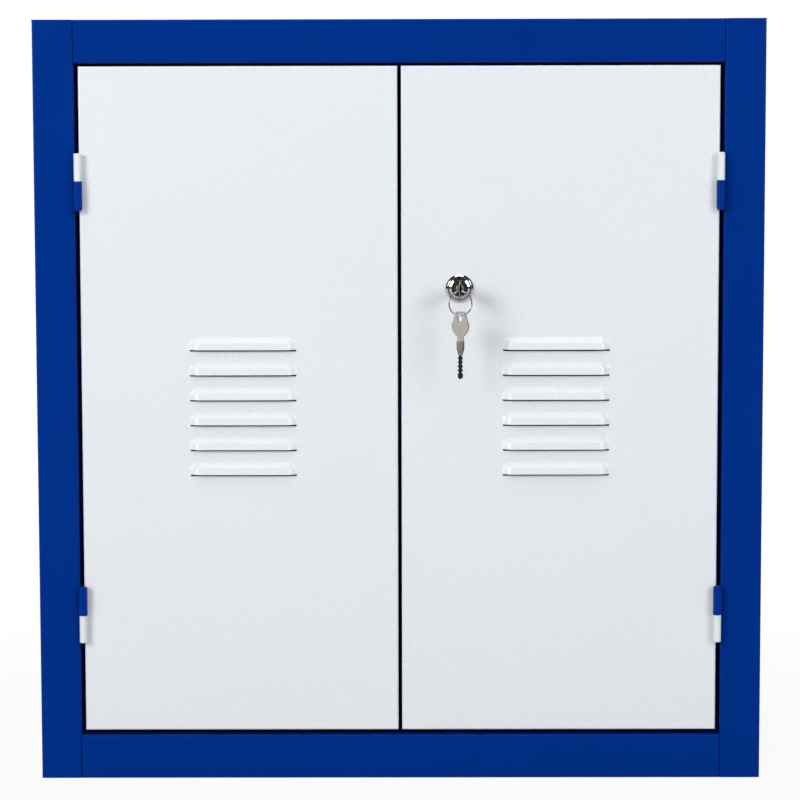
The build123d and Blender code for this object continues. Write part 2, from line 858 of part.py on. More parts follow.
def spare_key():
    """Second key, hanging on the lowest point of the ring."""
    yaw = radians(spare_yaw)
    plane = Plane(
        origin=(lock_x, ring_y, spare_top_z), x_dir=(cos(yaw), -sin(yaw), 0), z_dir=(-sin(yaw), -cos(yaw), 0)
    )
    return plane.location * key()


# ---- Writing the pieces ----


def save(name, shape):
    export_step(shape, f"parts/{name}.step")


def save_body():
    right = side_panel()
    save("right_side_panel", right)
    save("left_side_panel", mirrored(right))
    save("top_panel", top_panel())
    save("bottom_panel", bottom_panel())
    save("back_panel", back_panel())
    save("back_panel_rivets", back_rivets())
    save("door_bumpers", door_bumpers())


def save_interior():
    for place, y in zip(("front", "rear"), rack_y):
        strip = rack(y)
        save(f"right_{place}_rack", strip)
        save(f"left_{place}_rack", mirrored(strip))
    save("shelf_clips", shelf_clips())
    save("shelf", shelf())


def save_doors():
    pan = door_pan()
    hole_y = (front_y - door_sheet, front_y + 2 * door_sheet)
    hole = flatted_body(body_radius + body_fit, body_flats + 2 * body_fit, hole_y)
    save("left_door_panel", mirrored(pan))
    save("right_door_panel", pan - hole)


def save_hinges():
    # The upper hinges have their door half above, the lower hinges below.
    for place, z, door_side in (("upper", upper_hinge_z, 1), ("lower", lower_hinge_z, -1)):
        pieces = {
            "frame_half": hinge_frame_half(z, -door_side),
            "door_half": hinge_door_half(z, door_side),
            "pin": hinge_pin(z),
        }
        for piece, shape in pieces.items():
            save(f"right_{place}_hinge_{piece}", shape)
            save(f"left_{place}_hinge_{piece}", mirrored(shape))


def save_lock():
    save("lock_housing", lock_housing())
    save("lock_nut", lock_nut())
    save("lock_plug", lock_plug())
    save("lock_cam", lock_cam())
    save("cam_clip", cam_clip())
    save("rod_retaining_clips", rod_clips())
    save("upper_lock_rod", lock_rod(1))
    save("lower_lock_rod", lock_rod(-1))
    save("lock_rod_guides", rod_guides())
    save("upper_slide_bolt", slide_bolt(1))
    save("lower_slide_bolt", slide_bolt(-1))
    save("slide_bolt_guides", bolt_guides())
    save("inserted_key", inserted_key())
    save("key_ring", key_ring())
    save("spare_key", spare_key())


os.makedirs("parts", exist_ok=True)
save_body()
save_interior()
save_doors()
save_hinges()
save_lock()
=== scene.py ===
import json
import logging
from dataclasses import dataclass, field
from enum import Enum
from math import cos, pi, radians, sin, sqrt
from typing import Iterable, Optional, Protocol, Sequence

import bmesh
import bpy
from mathutils import Matrix, Vector


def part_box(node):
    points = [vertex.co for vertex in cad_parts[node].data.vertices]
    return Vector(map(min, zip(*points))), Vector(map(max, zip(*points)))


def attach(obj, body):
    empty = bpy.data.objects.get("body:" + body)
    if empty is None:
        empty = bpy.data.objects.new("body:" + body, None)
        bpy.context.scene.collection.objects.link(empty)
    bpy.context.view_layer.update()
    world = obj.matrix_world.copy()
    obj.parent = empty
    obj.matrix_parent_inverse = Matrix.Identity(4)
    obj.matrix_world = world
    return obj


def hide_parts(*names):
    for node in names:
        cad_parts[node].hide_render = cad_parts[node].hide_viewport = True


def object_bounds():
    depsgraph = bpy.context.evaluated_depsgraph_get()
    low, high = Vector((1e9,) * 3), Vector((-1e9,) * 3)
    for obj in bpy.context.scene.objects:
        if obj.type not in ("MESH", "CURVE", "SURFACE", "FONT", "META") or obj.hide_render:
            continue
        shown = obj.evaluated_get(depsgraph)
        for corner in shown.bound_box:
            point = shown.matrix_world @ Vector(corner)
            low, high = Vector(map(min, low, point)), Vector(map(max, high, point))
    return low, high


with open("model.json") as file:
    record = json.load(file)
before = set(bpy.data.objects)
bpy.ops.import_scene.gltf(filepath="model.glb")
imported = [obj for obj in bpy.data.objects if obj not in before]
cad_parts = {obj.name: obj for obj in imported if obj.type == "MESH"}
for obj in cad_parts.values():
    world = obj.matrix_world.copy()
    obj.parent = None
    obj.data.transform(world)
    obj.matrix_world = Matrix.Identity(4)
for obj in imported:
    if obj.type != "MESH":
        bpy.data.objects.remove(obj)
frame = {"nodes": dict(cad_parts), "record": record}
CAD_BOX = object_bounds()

LOG = logging.getLogger("cabinet")
MM = 0.001
MERGE = 2e-6
BODY_OF = {
    node: body
    for body, nodes in frame["record"]["behaviour"]["bodies"].items()
    for node in nodes
}


# ---- Small helpers ----


def linear(code: str) -> tuple[float, float, float, float]:
    """Turns an sRGB hex colour into linear values.

    Args:
        code: Six hex digits, such as "E6E9ED".

    Returns:
        Linear red, green and blue, and an alpha of 1.
    """
    parts = [int(code[start : start + 2], 16) / 255 for start in (0, 2, 4)]
    red, green, blue = [p / 12.92 if p <= 0.04045 else ((p + 0.055) / 1.055) ** 2.4 for p in parts]
    return (red, green, blue, 1.0)


def add_node(
    tree: bpy.types.NodeTree,
    kind: str,
    settings: Optional[dict[str, object]] = None,
    inputs: Optional[dict[object, object]] = None,
) -> bpy.types.Node:
    """Adds one shader node, sets its properties, and fills or links its inputs.

    Args:
        tree: The node tree of a material or the world.
        kind: The node's type name in Blender.
        settings: Properties of the node and their values.
        inputs: Values or output sockets for the inputs, by name or number.

    Returns:
        The new node.
    """
    node = tree.nodes.new(kind)
    for name, value in (settings or {}).items():
        setattr(node, name, value)
    for key, value in (inputs or {}).items():
        socket = node.inputs[key]
        if isinstance(value, bpy.types.NodeSocket):
            tree.links.new(value, socket)
        else:
            socket.default_value = value
    return node


class Side(Enum):
    """Which door or side of the cabinet, seen from the front."""

    LEFT = -1
    RIGHT = 1

    @property
    def word(self) -> str:
        """The word that starts the node names of this side."""
        return self.name.lower()


class Finish(Protocol):
    """Anything that can make a material for a piece."""

    def material(self) -> bpy.types.Material:
        """Makes the material, or gives it back if it is there already."""


def started(name: str) -> tuple[bpy.types.Material, bpy.types.NodeTree, bpy.types.NodeSocket]:
    """Starts an empty node material with its object coordinates.

    Args:
        name: The material's name.

    Returns:
        The material, its tree, and the object coordinates' socket.
    """
    material = bpy.data.materials.new(name)
    material.use_nodes = True
    material.node_tree.nodes.clear()
    coordinates = add_node(material.node_tree, "ShaderNodeTexCoord")
    return material, material.node_tree, coordinates.outputs["Object"]


def ended(tree: bpy.types.NodeTree, shader: bpy.types.Node) -> None:
    """Links a shader to the tree's output.

    Args:
        tree: The material's tree.
        shader: The node whose first output is the surface.
    """
    add_node(tree, "ShaderNodeOutputMaterial", inputs={"Surface": shader.outputs[0]})


@dataclass(frozen=True)
class PowderCoat:
    """Baked powder paint on sheet steel: an even colour with a fine orange peel."""

    name: str
    colour: str
    shade: str
    roughness: float
    gloss: float
    gloss_tint: str = "FFFFFF"
    peel_mm: float = 1.6
    peel_depth_mm: float = 0.0007
    cloud_mm: float = 140.0

    def material(self) -> bpy.types.Material:
        """Makes the paint, or gives it back if it is there already.

        Returns:
            The paint's material.
        """
        made = bpy.data.materials.get(self.name)
        if made:
            return made
        material, tree, place = started(self.name)
        cloud = add_node(
            tree,
            "ShaderNodeTexNoise",
            inputs={"Vector": place, "Scale": 1 / (self.cloud_mm * MM), "Detail": 2.0},
        )
        tint = add_node(
            tree,
            "ShaderNodeMix",
            {"data_type": "RGBA"},
            {0: cloud.outputs["Fac"], 6: linear(self.colour), 7: linear(self.shade)},
        )
        peel = add_node(
            tree,
            "ShaderNodeTexNoise",
            inputs={"Vector": place, "Scale": 1 / (self.peel_mm * MM), "Detail": 1.5},
        )
        rough = add_node(
            tree,
            "ShaderNodeMapRange",
            inputs={0: peel.outputs["Fac"], 3: self.roughness - 0.03, 4: self.roughness + 0.04},
        )
        bump = add_node(
            tree,
            "ShaderNodeBump",
            inputs={"Strength": 0.5, "Distance": self.peel_depth_mm * MM, "Height": peel.outputs["Fac"]},
        )
        shader = add_node(
            tree,
            "ShaderNodeBsdfPrincipled",
            inputs={
                "Base Color": tint.outputs[2],
                "Roughness": rough.outputs[0],
                "Specular IOR Level": self.gloss,
                "Specular Tint": linear(self.gloss_tint),
                "Normal": bump.outputs[0],
            },
        )
        ended(tree, shader)
        return material


@dataclass(frozen=True)
class PlatedMetal:
    """Plated steel or brass: a metal colour with streaks along one direction."""

    name: str
    colour: str
    shade: str
    roughness: float
    spread: float
    grain_mm: tuple[float, float, float]
    depth_mm: float = 0.002

    def material(self) -> bpy.types.Material:
        """Makes the metal, or gives it back if it is there already.

        Returns:
            The metal's material.
        """
        made = bpy.data.materials.get(self.name)
        if made:
            return made
        material, tree, place = started(self.name)
        scale = tuple(1 / (size * MM) for size in self.grain_mm)
        mapping = add_node(tree, "ShaderNodeMapping", inputs={"Vector": place, "Scale": scale})
        grain = add_node(
            tree,
            "ShaderNodeTexNoise",
            inputs={"Vector": mapping.outputs[0], "Scale": 1.0, "Detail": 3.0},
        )
        tint = add_node(
            tree,
            "ShaderNodeMix",
            {"data_type": "RGBA"},
            {0: grain.outputs["Fac"], 6: linear(self.colour), 7: linear(self.shade)},
        )
        rough = add_node(
            tree,
            "ShaderNodeMapRange",
            inputs={
                0: grain.outputs["Fac"],
                3: self.roughness - self.spread,
                4: self.roughness + self.spread,
            },
        )
        bump = add_node(
            tree,
            "ShaderNodeBump",
            inputs={"Strength": 0.4, "Distance": self.depth_mm * MM, "Height": grain.outputs["Fac"]},
        )
        shader = add_node(
            tree,
            "ShaderNodeBsdfPrincipled",
            inputs={
                "Base Color": tint.outputs[2],
                "Metallic": 1.0,
                "Roughness": rough.outputs[0],
                "Normal": bump.outputs[0],
            },
        )
        ended(tree, shader)
        return material


@dataclass(frozen=True)
class TurnedMetal:
    """Metal turned on a lathe about an axis along Y: fine rings round that axis."""

    name: str
    colour: str
    shade: str
    roughness: float
    centre: tuple[float, float, float]
    ring_mm: float = 0.5
    depth_mm: float = 0.004

    def material(self) -> bpy.types.Material:
        """Makes the turned metal, or gives it back if it is there already.

        Returns:
            The metal's material.
        """
        made = bpy.data.materials.get(self.name)
        if made:
            return made
        material, tree, place = started(self.name)
        back = tuple(-value for value in self.centre)
        mapping = add_node(tree, "ShaderNodeMapping", inputs={"Vector": place, "Location": back})
        rings = add_node(
            tree,
            "ShaderNodeTexWave",
            {"wave_type": "RINGS", "rings_direction": "Y"},
            {"Vector": mapping.outputs[0], "Scale": 0.314 / (self.ring_mm * MM), "Distortion": 0.4},
        )
        tint = add_node(
            tree,
            "ShaderNodeMix",
            {"data_type": "RGBA"},
            {0: rings.outputs["Fac"], 6: linear(self.colour), 7: linear(self.shade)},
        )
        bump = add_node(
            tree,
            "ShaderNodeBump",
            inputs={"Strength": 0.5, "Distance": self.depth_mm * MM, "Height": rings.outputs["Fac"]},
        )
        shader = add_node(
            tree,
            "ShaderNodeBsdfPrincipled",
            inputs={
                "Base Color": tint.outputs[2],
                "Metallic": 1.0,
                "Roughness": self.roughness,
                "Normal": bump.outputs[0],
            },
        )
        ended(tree, shader)
        return material


@dataclass(frozen=True)
class MouldedPolymer:
    """Moulded plastic or rubber: one colour with a fine matte grain."""

    name: str
    colour: str
    shade: str
    roughness: float
    grain_mm: float
    depth_mm: float = 0.01

    def material(self) -> bpy.types.Material:
        """Makes the polymer, or gives it back if it is there already.

        Returns:
            The polymer's material.
        """
        made = bpy.data.materials.get(self.name)
        if made:
            return made
        material, tree, place = started(self.name)
        grain = add_node(
            tree,
            "ShaderNodeTexNoise",
            inputs={"Vector": place, "Scale": 1 / (self.grain_mm * MM), "Detail": 4.0},
        )
        tint = add_node(
            tree,
            "ShaderNodeMix",
            {"data_type": "RGBA"},
            {0: grain.outputs["Fac"], 6: linear(self.colour), 7: linear(self.shade)},
        )
        bump = add_node(
            tree,
            "ShaderNodeBump",
            inputs={"Strength": 0.5, "Distance": self.depth_mm * MM, "Height": grain.outputs["Fac"]},
        )
        shader = add_node(
            tree,
            "ShaderNodeBsdfPrincipled",
            inputs={
                "Base Color": tint.outputs[2],
                "Roughness": self.roughness,
                "Normal": bump.outputs[0],
            },
        )
        ended(tree, shader)
        return material


PLUG_LOW, PLUG_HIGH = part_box("lock_plug")
LOCK_AXIS = ((PLUG_LOW[0] + PLUG_HIGH[0]) / 2, PLUG_LOW[1], (PLUG_LOW[2] + PLUG_HIGH[2]) / 2)

# Gloss blue powder coat: deep and even, with lighter blue highlights on rounds and folds.
FRAME_PAINT = PowderCoat("blue powder coat", "002F85", "002C7E", 0.36, 0.55, "2F6CFF")
# Gloss white powder coat: a cool grey-white that is brighter along folds and pressed slopes.
DOOR_PAINT = PowderCoat("white powder coat", "E6EAEE", "E3E7EB", 0.27, 0.55)
# Bright zinc plate on mild steel: a pale, slightly cloudy metal with rolled streaks.
ZINC = PlatedMetal("bright zinc plate", "C3C6CA", "AEB2B7", 0.33, 0.07, (3.0, 3.0, 12.0))
# Polished chrome plate on die-cast zinc: a mirror with faint polishing marks.
CHROME = PlatedMetal("polished chrome plate", "E3E4E6", "D8D9DC", 0.09, 0.03, (0.4, 0.4, 6.0), 0.0005)
# Nickel plate on a turned brass plug: it mirrors the dark room, with fine rings from the lathe.
PLUG_NICKEL = TurnedMetal("nickel-plated plug", "8A8886", "7A7876", 0.16, LOCK_AXIS)
# Nickel-plated key blank: a warm grey metal with brushed marks along its length.
KEY_NICKEL = PlatedMetal("brushed nickel key", "A8A39D", "8A8681", 0.36, 0.08, (0.5, 0.5, 5.0), 0.004)
# Cut edges and blade of the key: a darker metal colour painted on as shade, smooth so that they also mirror the dark
# room in front.
KEY_PAINTED_SHADE = PlatedMetal("cut nickel edge", "4A4846", "3A3836", 0.14, 0.04, (0.8, 0.8, 0.8), 0.001)
# Spring steel wire of the ring: bright and smooth.
RING_STEEL = PlatedMetal("bright spring steel", "A9A8A6", "8E8D8B", 0.18, 0.04, (0.5, 0.5, 0.5))
# Black nylon guides: dull, with a fine moulded grain.
NYLON = MouldedPolymer("black nylon", "1C1C1D", "151516", 0.55, 0.35)
# Black rubber stops: matt and slightly grey.
RUBBER = MouldedPolymer("black rubber", "222222", "191919", 0.8, 0.5, 0.02)


# ---- Making pieces ----


@dataclass
class Bench:
    """Turns a bmesh into a finished piece of the cabinet."""

    made: int = 0

    def finish(
        self,
        name: str,
        bm: bmesh.types.BMesh,
        nodes: Sequence[str],
        finish: Finish,
        edge_mm: float = 0.15,
        smooth: float = 36.0,
        wall_mm: float = 0.0,
        second: Optional[Finish] = None,
    ) -> bpy.types.Object:
        """Makes an object that stands for some CAD nodes and rides on their body.

        Args:
            name: The piece's name.
            bm: Its mesh, which is freed.
            nodes: The CAD nodes that it stands for, all on one body.
            finish: The finish that it gets.
            edge_mm: Radius of its broken edges, or 0 for none.
            smooth: Edges turned by more than this many degrees are broken.
            wall_mm: Thickness that a single skin gets, inwards.
            second: A second finish, for faces of material 1 and for the broken edges.

        Returns:
            The new object.
        """
        mesh = bpy.data.meshes.new(name)
        bm.to_mesh(mesh)
        bm.free()
        mesh.shade_smooth()
        mesh.materials.append(finish.material())
        if second:
            mesh.materials.append(second.material())
        piece = bpy.data.objects.new(name, mesh)
        bpy.context.collection.objects.link(piece)
        if wall_mm:
            wall = piece.modifiers.new("wall", "SOLIDIFY")
            wall.thickness = wall_mm * MM
            wall.offset = -1.0
            wall.use_even_offset = True
        else:
            mesh.set_sharp_from_angle(angle=radians(smooth))
        if edge_mm:
            edge = piece.modifiers.new("edge", "BEVEL")
            edge.width = edge_mm * MM
            edge.segments = 2
            edge.limit_method = "ANGLE"
            edge.angle_limit = radians(smooth)
            edge.use_clamp_overlap = True
            edge.material = 1 if second else -1
        normals = piece.modifiers.new("normals", "WEIGHTED_NORMAL")
        normals.keep_sharp = True
        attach(piece, BODY_OF[nodes[0]])
        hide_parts(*nodes)
        self.made += 1
        LOG.info("%s: %d faces before modifiers", name, len(mesh.polygons))
        return piece


def copied(node: str) -> bmesh.types.BMesh:
    """Copies a CAD node's mesh, merged and with its flat faces joined.

    Args:
        node: The CAD node's name.

    Returns:
        A new bmesh.
    """
    bm = bmesh.new()
    bm.from_mesh(frame["nodes"][node].data)
    bmesh.ops.remove_doubles(bm, verts=bm.verts, dist=MERGE)
    bmesh.ops.dissolve_limit(bm, angle_limit=radians(0.4), verts=bm.verts, edges=bm.edges)
    return bm


def cut(bm: bmesh.types.BMesh, place: Vector, normal: Vector) -> None:
    """Cuts all faces of a bmesh along a plane.

    Args:
        bm: The bmesh.
        place: A point on the plane.
        normal: The plane's normal.
    """
    geometry = bm.verts[:] + bm.edges[:] + bm.faces[:]
    bmesh.ops.bisect_plane(bm, geom=geometry, dist=1e-7, plane_co=place, plane_no=normal)


def turned(bm: bmesh.types.BMesh, profile: Sequence[tuple[float, float]], steps: int) -> None:
    """Turns a profile about the Y axis through the origin into a closed round.

    Args:
        bm: The bmesh that gets the round.
        profile: Points (radius, y), in metres, that start and end on the axis or close up.
        steps: Number of flats round the axis.
    """
    verts = [bm.verts.new((radius, y, 0.0)) for radius, y in profile]
    edges = [bm.edges.new(pair) for pair in zip(verts, verts[1:])]
    bmesh.ops.spin(
        bm, geom=verts + edges, cent=(0, 0, 0), axis=(0, 1, 0), angle=2 * pi, steps=steps, use_merge=True
    )
    bmesh.ops.remove_doubles(bm, verts=bm.verts, dist=MERGE)
    bmesh.ops.recalc_face_normals(bm, faces=bm.faces)


def arc(
    centre: tuple[float, float], size: tuple[float, float], start: float, end: float, count: int
) -> list[tuple[float, float]]:
    """Works out points on part of an ellipse, for a turned profile.

    Args:
        centre: The ellipse's centre (radius, y).
        size: Its half width and half height.
        start: The angle of the first point, in degrees from the radius' direction.
        end: The angle of the last point.
        count: Number of steps between them.

    Returns:
        The points (radius, y).
    """
    angles = [radians(start + (end - start) * step / count) for step in range(count + 1)]
    return [(centre[0] + size[0] * cos(a), centre[1] + size[1] * sin(a)) for a in angles]


def joined(bm: bmesh.types.BMesh, other: bmesh.types.BMesh) -> None:
    """Adds the faces of one bmesh to another and frees it.

    Args:
        bm: The bmesh that gets the faces.
        other: The bmesh that gives them.
    """
    mesh = bpy.data.meshes.new("part")
    other.to_mesh(mesh)
    other.free()
    bm.from_mesh(mesh)
    bpy.data.meshes.remove(mesh)


# ---- Folded body, racks and shelf ----


@dataclass
class FoldedBody:
    """The blue body: two sides, top, floor and back, with its rivets and rubber stops."""

    bench: Bench
    panels: tuple[str, ...] = (
        "left_side_panel",
        "right_side_panel",
        "top_panel",
        "bottom_panel",
        "back_panel",
    )
    head_mm: float = 3.2
    dome_mm: float = 1.0
    shank_mm: float = 1.6
    mandrel_mm: float = 0.9
    steps: int = 24

    def build(self) -> None:
        """Builds and dresses every piece of the body."""
        for node in self.panels:
            self.bench.finish(f"dressed_{node}", copied(node), [node], FRAME_PAINT, edge_mm=0.2)
        self.rivets()
        self.bench.finish("dressed_bumpers", copied("door_bumpers"), ["door_bumpers"], RUBBER, 0.3)

    def rivets(self) -> None:
        """Builds the blind rivets of the back panel, each with its domed head and mandrel hole."""
        bm = bmesh.new()
        source = bmesh.new()
        source.from_mesh(frame["nodes"]["back_panel_rivets"].data)
        bmesh.ops.remove_doubles(source, verts=source.verts, dist=MERGE)
        for centre, front, rear in self.places(source):
            one = bmesh.new()
            turned(one, self.profile(front, rear), self.steps)
            bmesh.ops.translate(one, verts=one.verts, vec=centre)
            joined(bm, one)
        source.free()
        self.bench.finish("dressed_rivets", bm, ["back_panel_rivets"], ZINC, edge_mm=0.0, smooth=50)

    def places(self, source: bmesh.types.BMesh) -> list[tuple[Vector, float, float]]:
        """Finds where each rivet of the CAD node stands.

        Args:
            source: The merged mesh of all the rivets.

        Returns:
            For each rivet its axis in X and Z, its front and its rear in Y.
        """
        left = set(source.verts)
        found = []
        while left:
            group = {left.pop()}
            fresh = list(group)
            while fresh:
                for edge in fresh.pop().link_edges:
                    for vert in edge.verts:
                        if vert in left:
                            left.discard(vert)
                            group.add(vert)
                            fresh.append(vert)
            xs, ys, zs = zip(*(vert.co for vert in group))
            centre = Vector(((min(xs) + max(xs)) / 2, 0, (min(zs) + max(zs)) / 2))
            found.append((centre, min(ys), max(ys)))
        return found

    def profile(self, front: float, rear: float) -> list[tuple[float, float]]:
        """Works out the outline of one rivet from its blind end to its domed head.

        Args:
            front: Y of the blind end inside the cabinet.
            rear: Y of the top of the head behind the cabinet.

        Returns:
            Points (radius, y) that start and end on the axis.
        """
        head, dome, shank, hole = (
            value * MM for value in (self.head_mm, self.dome_mm, self.shank_mm, self.mandrel_mm)
        )
        seat = rear - dome
        round_head = [
            (head * cos(angle), seat + dome * sin(angle)) for angle in [radians(a) for a in (0, 25, 45, 65)]
        ]
        return [
            (0, front),
            (shank * 0.9, front),
            (head - dome, front + dome * 0.35),
            (head - dome, front + dome),
            (shank, front + dome),
            (shank, seat),
            *round_head,
            (hole, rear - dome * 0.1),
            (hole, rear - dome * 0.8),
            (0, rear - dome * 0.8),
        ]


@dataclass
class Interior:
    """The slotted racks, their clips and the tray shelf."""

    bench: Bench

    def build(self) -> None:
        """Builds and dresses the racks, clips and shelf."""
        for side in Side:
            for place in ("front", "rear"):
                node = f"{side.word}_{place}_rack"
                self.bench.finish(f"dressed_{node}", copied(node), [node], ZINC)
        self.bench.finish("dressed_shelf_clips", copied("shelf_clips"), ["shelf_clips"], ZINC)
        self.bench.finish("dressed_shelf", copied("shelf"), ["shelf"], FRAME_PAINT, edge_mm=0.2)


# ---- Doors ----


@dataclass
class LouvredDoor:
    """A folded door pan of one skin, with six pressed louvres open below."""

    bench: Bench
    side: Side
    sheet_mm: float = 1.0
    depth_mm: float = 20.0
    return_mm: float = 25.0
    fold_mm: float = 2.2
    louvres: int = 6
    pitch_mm: float = 25.0
    drop_mm: float = 282.7
    shift_mm: float = 3.6
    width_mm: float = 109.0
    height_mm: float = 14.6
    stand_mm: float = 5.3
    slope_mm: float = 5.6
    end_slope_mm: float = 8.5
    corner_mm: float = 10.5
    slit_mm: float = 1.6
    lip_curl_mm: float = 0.25
    hole_mm: tuple[float, float] = (9.6, 8.1)
    steps: tuple[float, ...] = (0.0, 0.4, 0.9, 1.6, 2.4, 3.2, 4.0, 4.8, 5.6, 6.6)

    low: Vector = field(init=False)
    high: Vector = field(init=False)
    front: float = field(init=False)

    def __post_init__(self) -> None:
        """Takes the pan's corners from its CAD node."""
        low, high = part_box(f"{self.side.word}_door_panel")
        self.low, self.high = Vector(low), Vector(high)
        self.front = self.high.y - self.depth_mm * MM

    @property
    def middle(self) -> float:
        """X of the middle of the louvres."""
        return (self.low.x + self.high.x) / 2 - self.side.value * self.shift_mm * MM

    @property
    def lips(self) -> list[float]:
        """Height of each louvre's lower lip."""
        first = self.high.z - self.drop_mm * MM
        return [first - index * self.pitch_mm * MM for index in range(self.louvres)]

    def lines(self) -> tuple[list[float], list[float]]:
        """Works out where the skin is cut, upright and across.

        Returns:
            The X of the upright lines and the Z of those across.
        """
        half = self.width_mm * MM / 2
        scale = self.end_slope_mm / self.slope_mm
        upright = []
        for step in self.steps:
            reach = half - step * scale * MM
            upright += [self.middle - reach, self.middle + reach]
        across = []
        for lip in self.lips:
            top = lip + self.height_mm * MM
            edge = lip + self.slit_mm * MM
            across += [lip, edge, edge + 0.6 * MM, edge + 1.6 * MM]
            across += [top - step * MM for step in self.steps]
        if self.side is Side.RIGHT:
            upright += [LOCK_AXIS[0] + sign * reach * MM for reach in (4.2, 9.6) for sign in (-1, 1)]
            across += [LOCK_AXIS[2] + sign * reach * MM for reach in (3.2, 8.1) for sign in (-1, 1)]
        return upright, across

    def stand(self, x: float, z: float, lip: float) -> float:
        """Works out how far a louvre stands out at one place.

        Args:
            x: The place's X.
            z: The place's Z, from the lip up.
            lip: Height of the louvre's lip.

        Returns:
            The distance in front of the door, in metres.
        """
        scale = self.slope_mm / self.end_slope_mm
        from_end = (self.width_mm * MM / 2 - abs(x - self.middle)) * scale
        from_top = lip + self.height_mm * MM - z
        corner = self.corner_mm * MM
        if from_end < corner and from_top < corner:
            inside = corner - sqrt((corner - from_end) ** 2 + (corner - from_top) ** 2)
        else:
            inside = min(from_end, from_top)
        share = min(max(inside / (self.slope_mm * MM), 0.0), 1.0)
        soft = share * share * (3 - 2 * share)
        curl = max(0.0, 1 - (z - lip - self.slit_mm * MM) / (1.6 * MM)) ** 2 * self.lip_curl_mm * MM
        return (self.stand_mm * MM - self.lip_curl_mm * MM) * (0.6 * share + 0.4 * soft) + curl * soft

    def skin(self) -> bmesh.types.BMesh:
        """Builds the door's front as one skin, cut where the louvres and the lock go.

        Returns:
            The flat skin.
        """
        bm = bmesh.new()
        bmesh.ops.create_grid(bm, x_segments=1, y_segments=1, size=0.5)
        bmesh.ops.rotate(bm, verts=bm.verts, cent=(0, 0, 0), matrix=Matrix.Rotation(pi / 2, 3, "X"))
        size = self.high - self.low
        bmesh.ops.scale(bm, verts=bm.verts, vec=(size.x, 1, size.z))
        middle = Vector(((self.low.x + self.high.x) / 2, self.front, (self.low.z + self.high.z) / 2))
        bmesh.ops.translate(bm, verts=bm.verts, vec=middle)
        upright, across = self.lines()
        for x in upright:
            cut(bm, Vector((x, 0, 0)), Vector((1, 0, 0)))
        for z in across:
            cut(bm, Vector((0, 0, z)), Vector((0, 0, 1)))
        return bm

    def press(self, bm: bmesh.types.BMesh) -> None:
        """Slits the skin under each louvre and presses the louvres out.

        Args:
            bm: The flat skin.
        """
        half = self.width_mm * MM / 2
        slit = self.slit_mm * MM
        reach = half - 1.2 * MM
        opened = []
        for face in bm.faces:
            middle = face.calc_center_median()
            if abs(middle.x - self.middle) < reach and any(lip < middle.z < lip + slit for lip in self.lips):
                opened.append(face)
        bmesh.ops.delete(bm, geom=opened, context="FACES")
        for vert in bm.verts:
            for lip in self.lips:
                high = lip + slit - 1e-6 <= vert.co.z < lip + self.height_mm * MM
                if high and abs(vert.co.x - self.middle) < half - 1e-7:
                    vert.co.y = self.front - self.stand(vert.co.x, vert.co.z, lip)

    def fold(self, bm: bmesh.types.BMesh) -> None:
        """Folds the skin's edges back and in, with rounded bends.

        Args:
            bm: The pressed skin.
        """

        def on_edge(vert: bmesh.types.BMVert) -> bool:
            """Tells whether a vertex is on the outer edge of the pan."""
            sides = (vert.co.x - self.low.x, self.high.x - vert.co.x)
            ends = (vert.co.z - self.low.z, self.high.z - vert.co.z)
            return min(*sides, *ends) < 1e-6

        rim = [edge for edge in bm.edges if edge.is_boundary and all(map(on_edge, edge.verts))]
        made = bmesh.ops.extrude_edge_only(bm, edges=rim)["geom"]
        walls = [item for item in made if isinstance(item, bmesh.types.BMVert)]
        bmesh.ops.translate(bm, verts=walls, vec=(0, self.depth_mm * MM, 0))
        rear = [item for item in made if isinstance(item, bmesh.types.BMEdge)]
        made = bmesh.ops.extrude_edge_only(bm, edges=rear)["geom"]
        for vert in (item for item in made if isinstance(item, bmesh.types.BMVert)):
            step = self.return_mm * MM
            moved = vert.co.copy()
            moved.x += step * ((vert.co.x - self.low.x < 1e-6) - (self.high.x - vert.co.x < 1e-6))
            moved.z += step * ((vert.co.z - self.low.z < 1e-6) - (self.high.z - vert.co.z < 1e-6))
            vert.co = moved
        bmesh.ops.bevel(
            bm,
            geom=rim + rear,
            offset=self.fold_mm * MM,
            segments=5,
            profile=0.5,
            affect="EDGES",
            material=-1,
        )

    def lock_hole(self, bm: bmesh.types.BMesh) -> None:
        """Opens the hole for the lock: round, with a flat above and below.

        Args:
            bm: The skin, cut at the hole's lines.
        """
        wide, high = (value * MM for value in self.hole_mm)
        centre = Vector(LOCK_AXIS)
        inside = []
        for face in bm.faces:
            off = face.calc_center_median() - centre
            if abs(off.x) < wide and abs(off.z) < high and abs(face.normal.y) > 0.9:
                inside.append(face)
        bmesh.ops.delete(bm, geom=inside, context="FACES")
        for vert in bm.verts:
            off = vert.co - centre
            if abs(abs(off.x) - wide) < 1e-6 and abs(abs(off.z) - high) < 1e-6:
                vert.co.x = centre.x + off.x * 0.76
                vert.co.z = centre.z + off.z * 0.74

    def build(self) -> None:
        """Builds and dresses the whole door pan."""
        bm = self.skin()
        self.press(bm)
        self.fold(bm)
        if self.side is Side.RIGHT:
            self.lock_hole(bm)
        bmesh.ops.recalc_face_normals(bm, faces=bm.faces)
        front = max(bm.faces, key=lambda face: face.calc_area())
        if front.normal.y > 0:
            bmesh.ops.reverse_faces(bm, faces=bm.faces)
        node = f"{self.side.word}_door_panel"
        self.bench.finish(
            f"dressed_{node}", bm, [node], DOOR_PAINT, edge_mm=0.18, smooth=50, wall_mm=self.sheet_mm
        )


